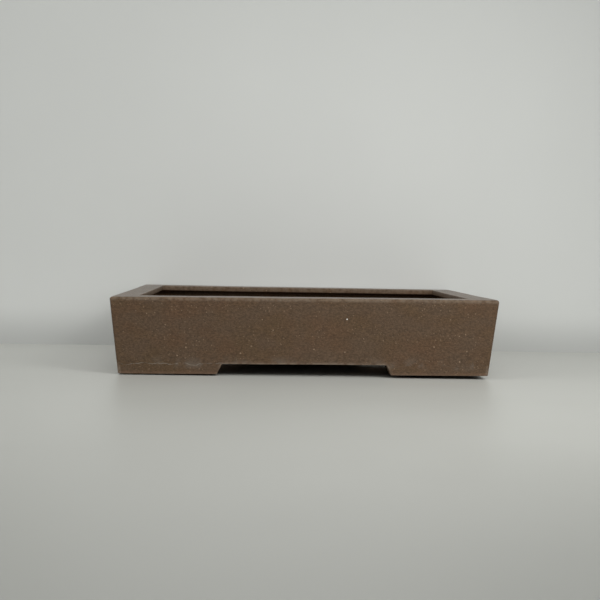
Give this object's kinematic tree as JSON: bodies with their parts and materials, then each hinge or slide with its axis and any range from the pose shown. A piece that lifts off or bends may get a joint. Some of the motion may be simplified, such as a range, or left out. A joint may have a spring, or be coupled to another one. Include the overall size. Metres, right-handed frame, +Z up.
{
  "type": "bonsai pot",
  "caption": "Shallow rectangular unglazed stoneware planting pot with outward-leaning walls, a flat inward rim, corner feet and a drained floor.",
  "frame": {"origin": "on the table under the middle of the pot's outline", "axes": "+X to the right along the long side, +Y from front to back, +Z up"},
  "size_m": [0.2996, 0.2096, 0.0631],
  "materials": {
    "wall_clay": "matte unglazed stoneware, dark brown",
    "rim_clay": "unglazed stoneware, smoothed until it has a slight sheen",
    "foot_clay": "matte unglazed stoneware with rubbed soles",
    "floor_clay": "rough unglazed stoneware",
    "seam_clay": "rough unglazed stoneware, finger smoothed"
  },
  "bodies": {
    "root": {"front_wall": "wall_clay", "back_wall": "wall_clay", "left_wall": "wall_clay", "right_wall": "wall_clay", "floor_slab": "floor_clay", "front_rim": "rim_clay", "back_rim": "rim_clay", "left_rim": "rim_clay", "right_rim": "rim_clay", "front_left_foot": "foot_clay", "front_right_foot": "foot_clay", "back_left_foot": "foot_clay", "back_right_foot": "foot_clay", "front_floor_seam": "seam_clay", "back_floor_seam": "seam_clay", "left_floor_seam": "seam_clay", "right_floor_seam": "seam_clay", "front_left_corner_seam": "seam_clay", "front_right_corner_seam": "seam_clay", "back_left_corner_seam": "seam_clay", "back_right_corner_seam": "seam_clay"}
  },
  "joints": []
}
